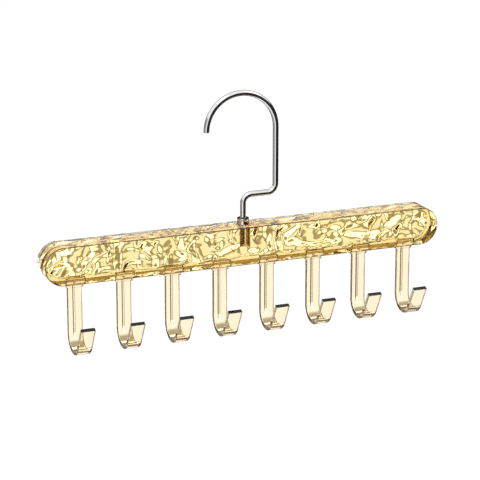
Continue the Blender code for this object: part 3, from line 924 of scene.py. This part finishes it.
def make_strap(name, across):
    top = BAR_TOP - BAR_HEIGHT - HEAD_DROP + CUT_OVERRUN
    work = bmesh.new()
    bmesh.ops.create_grid(work, x_segments=1, y_segments=1, size=0.5)
    bmesh.ops.scale(work, vec=(STRAP_WIDTH, STRAP_THICKNESS, 1.0), verts=work.verts)
    bmesh.ops.translate(work, verts=work.verts, vec=(across, -STRAP_SET_FORWARD, top))
    sweep_hook(work, (across, STRAP_BACK - BEND_OUTER, BEND_HEIGHT))
    round_edges(work, lip_corners(work), LIP_CORNER_RADIUS, LIP_CORNER_STEPS)
    round_edges(work, sharp_edges(work, HOOK_FOLD), HOOK_EDGE_ROUND, HOOK_EDGE_STEPS)
    return finished_piece(name, work)


def make_head(across):
    """The block that plugs into the bar, widest at the mouth of its pocket."""
    work = bmesh.new()
    levels = [(HEAD_TOP_WIDTH, HEAD_PLUG), (HEAD_MOUTH_WIDTH, 0.0), (HEAD_FOOT_WIDTH, -HEAD_DROP)]
    add_upright_block(work, levels, HEAD_DEPTH, across)
    bmesh.ops.recalc_face_normals(work, faces=work.faces)
    round_edges(work, upright_edges(work), HEAD_EDGE_ROUND, HEAD_EDGE_STEPS)
    return finished_piece("head", work)


def make_rib(across):
    """The thin rib up the strap's back, which runs out into the bend."""
    top = BAR_TOP - BAR_HEIGHT - FIT_GAP
    work = bmesh.new()
    bmesh.ops.create_grid(work, x_segments=1, y_segments=1, size=0.5)
    bmesh.ops.scale(work, vec=(RIB_THICKNESS, RIB_DEPTH + RIB_SINK, 1.0), verts=work.verts)
    middle = STRAP_BACK + (RIB_DEPTH - RIB_SINK) / 2
    bmesh.ops.translate(work, verts=work.verts, vec=(across, middle, top))
    down = bmesh.ops.extrude_face_region(work, geom=work.faces[:])
    for vertex in moved(down):
        vertex.co.z = BEND_HEIGHT
    ends = [face for face in down["geom"] if isinstance(face, bmesh.types.BMFace)]
    centre = Vector((across, STRAP_BACK - BEND_OUTER, BEND_HEIGHT))
    bmesh.ops.spin(
        work, geom=ends, cent=centre, axis=(1.0, 0.0, 0.0), angle=-RIB_RUN_OUT,
        steps=RIB_RUN_OUT_STEPS, use_merge=False, use_duplicate=False,
    )
    bmesh.ops.delete(work, geom=ends, context="FACES_ONLY")
    for vertex in work.verts:
        arm = vertex.co - centre
        arm.x = 0.0
        if arm.z < -SLACK and arm.length > BEND_OUTER:
            share = math.atan2(-arm.z, arm.y) / RIB_RUN_OUT
            fall = share * (RIB_DEPTH + RIB_SINK * RIB_RUN_OUT_SINK)
            keep = (BEND_OUTER + RIB_DEPTH - fall) / arm.length
            vertex.co.y = centre.y + arm.y * keep
            vertex.co.z = centre.z + arm.z * keep
    bmesh.ops.recalc_face_normals(work, faces=work.faces)
    round_edges(work, sharp_edges(work, HOOK_FOLD), RIB_EDGE_ROUND, RIB_EDGE_STEPS)
    return finished_piece("rib", work)


def make_garment_hooks(material):
    for number, across in enumerate(hook_places(), start=1):
        hook = make_strap(f"clear_hook_{number}", across)
        combine(hook, make_rib(across), "UNION")
        combine(hook, make_head(across), "UNION")
        set_piece(hook, f"garment_hook_{number}", "bar_body", material, HOOK_SMOOTH)


# Rail hook


def extrude_ring(work, edges, move, swell=1.0):
    """Carry a ring of edges on by a move, widening it about its own middle."""
    grown = bmesh.ops.extrude_edge_only(work, edges=edges)["geom"]
    verts = [item for item in grown if isinstance(item, bmesh.types.BMVert)]
    bmesh.ops.translate(work, verts=verts, vec=move)
    middle = sum((vertex.co for vertex in verts), Vector()) / len(verts)
    bmesh.ops.scale(work, vec=(swell, swell, swell), verts=verts, space=Matrix.Translation(-middle))
    return [item for item in grown if isinstance(item, bmesh.types.BMEdge)]


def bend_ring(work, edges, centre, angle, steps):
    turned = bmesh.ops.spin(
        work, geom=edges, cent=centre, axis=(0.0, 1.0, 0.0), angle=angle, steps=steps,
        use_merge=False, use_duplicate=False,
    )["geom_last"]
    return [item for item in turned if isinstance(item, bmesh.types.BMEdge)]


def make_rail_hook(material):
    """One rod: stub with its bead, crank, long leg and half-round arch."""
    work = bmesh.new()
    bmesh.ops.create_circle(work, cap_ends=False, segments=ROD_SIDES, radius=ROD_RADIUS)
    bmesh.ops.translate(work, verts=work.verts, vec=(AXIS_ALONG, 0.0, BAR_TOP - STUB_DEPTH))
    start = work.edges[:]
    ring = extrude_ring(work, start, (0.0, 0.0, STUB_DEPTH + BEAD_BOTTOM))
    swell = BEAD_RADIUS / ROD_RADIUS
    bead_line = (
        (0.0, swell * BEAD_EDGE_SWELL),
        (BEAD_EDGE, 1 / BEAD_EDGE_SWELL),
        (BEAD_HEIGHT - 2 * BEAD_EDGE, 1.0),
        (BEAD_EDGE, BEAD_EDGE_SWELL),
        (0.0, 1 / swell / BEAD_EDGE_SWELL),
    )
    for rise, growth in bead_line:
        ring = extrude_ring(work, ring, (0.0, 0.0, rise), growth)
    bend = CRANK_BEND_RADIUS
    rise = CRANK_HEIGHT - bend - BEAD_BOTTOM - BEAD_HEIGHT
    ring = extrude_ring(work, ring, (0.0, 0.0, rise))
    corner = (AXIS_ALONG + bend, 0.0, BAR_TOP + CRANK_HEIGHT - bend)
    ring = bend_ring(work, ring, corner, math.pi / 2, CRANK_BEND_STEPS)
    ring = extrude_ring(work, ring, (LEG_OFFSET - 2 * bend, 0.0, 0.0))
    corner = (AXIS_ALONG + LEG_OFFSET - bend, 0.0, BAR_TOP + CRANK_HEIGHT + bend)
    ring = bend_ring(work, ring, corner, -math.pi / 2, CRANK_BEND_STEPS)
    ring = extrude_ring(work, ring, (0.0, 0.0, ARCH_CENTRE_HEIGHT - CRANK_HEIGHT - bend))
    arch_centre = (AXIS_ALONG + LEG_OFFSET - ARCH_RADIUS, 0.0, BAR_TOP + ARCH_CENTRE_HEIGHT)
    ring = bend_ring(work, ring, arch_centre, -math.pi, ARCH_STEPS)
    bmesh.ops.edgeloop_fill(work, edges=start)
    bmesh.ops.edgeloop_fill(work, edges=ring)
    bmesh.ops.recalc_face_normals(work, faces=work.faces)
    ends = [face for face in work.faces if len(face.verts) > 4]
    folds = sharp_edges(work, ROD_FOLD)
    rims = [edge for edge in folds if any(face in ends for face in edge.link_faces)]
    round_edges(work, rims, ROD_END_CHAMFER, ROD_END_STEPS)
    rod = finished_piece("bent_rod", work)
    set_piece(rod, "rail_hook", "rail_hook_body", material, TURNED_SMOOTH)


# Turned pieces

SEAM_REACH = 0.001 * MM


def turn_profile(name, profile):
    """A closed line of (radius, height above the bar's top), turned once round the axis."""
    work = bmesh.new()
    places = [(AXIS_ALONG + radius, 0.0, BAR_TOP + height) for radius, height in profile]
    points = [work.verts.new(place) for place in places]
    edges = [work.edges.new((points[number - 1], points[number])) for number in range(len(points))]
    bmesh.ops.spin(
        work, geom=points + edges, cent=(AXIS_ALONG, 0.0, 0.0), axis=(0.0, 0.0, 1.0), angle=2 * math.pi,
        steps=TURNED_SIDES, use_merge=True, use_duplicate=False,
    )
    bmesh.ops.remove_doubles(work, verts=work.verts, dist=SEAM_REACH)
    return finished_piece(name, work)


def make_ferrule(material):
    """Collar with a rim, a cove and a foot, hollow over the rod's bead."""
    profile = [
        (FERRULE_THROAT, FERRULE_CAVITY_ROOF),
        (FERRULE_THROAT, FERRULE_TOP - FERRULE_LIP),
        (FERRULE_THROAT + FERRULE_LIP, FERRULE_TOP),
    ]
    for inwards, down in FERRULE_RIM_LINE:
        profile.append((FERRULE_RADIUS - inwards * MM, FERRULE_TOP - down * MM))
    for outwards, down in FERRULE_COVE_LINE:
        profile.append((FERRULE_WAIST + outwards * MM, FERRULE_TOP - down * MM))
    for inwards, up in FERRULE_FOOT_LINE:
        profile.append((FERRULE_FOOT - inwards * MM, up * MM))
    profile += [(FERRULE_CAVITY, FIT_GAP), (FERRULE_CAVITY, FERRULE_CAVITY_ROOF)]
    ring = turn_profile("steel_ferrule", profile)
    set_piece(ring, "ferrule", "bar_body", material, TURNED_SMOOTH)


def make_bush(material):
    """Sleeve round the rod's stub, with a neck just under the rod's bead."""
    bottom = FIT_GAP - BORE_DEPTH
    profile = [
        (BUSH_BORE, BUSH_NECK_HEIGHT),
        (BUSH_NECK, BUSH_NECK_HEIGHT),
        (BUSH_NECK, 0.0),
        (BUSH_RADIUS - BUSH_CHAMFER, 0.0),
        (BUSH_RADIUS, -BUSH_CHAMFER),
        (BUSH_RADIUS, bottom + BUSH_CHAMFER),
        (BUSH_RADIUS - BUSH_CHAMFER, bottom),
        (BUSH_BORE, bottom),
    ]
    sleeve = turn_profile("clear_sleeve", profile)
    set_piece(sleeve, "swivel_bush", "bar_body", material, TURNED_SMOOTH)


def main():
    make_camera()
    make_studio_world()
    make_floor()
    for name, place, power in LAMPS:
        make_lamp(name, place, power)
    steel = make_polished_steel()
    make_bar(make_clear_plastic("amber_plastic", AMBER_LOOK))
    make_garment_hooks(make_clear_plastic("pale_plastic", PALE_LOOK))
    make_bush(make_clear_plastic("bush_plastic", BUSH_LOOK))
    make_ferrule(steel)
    make_rail_hook(steel)


main()
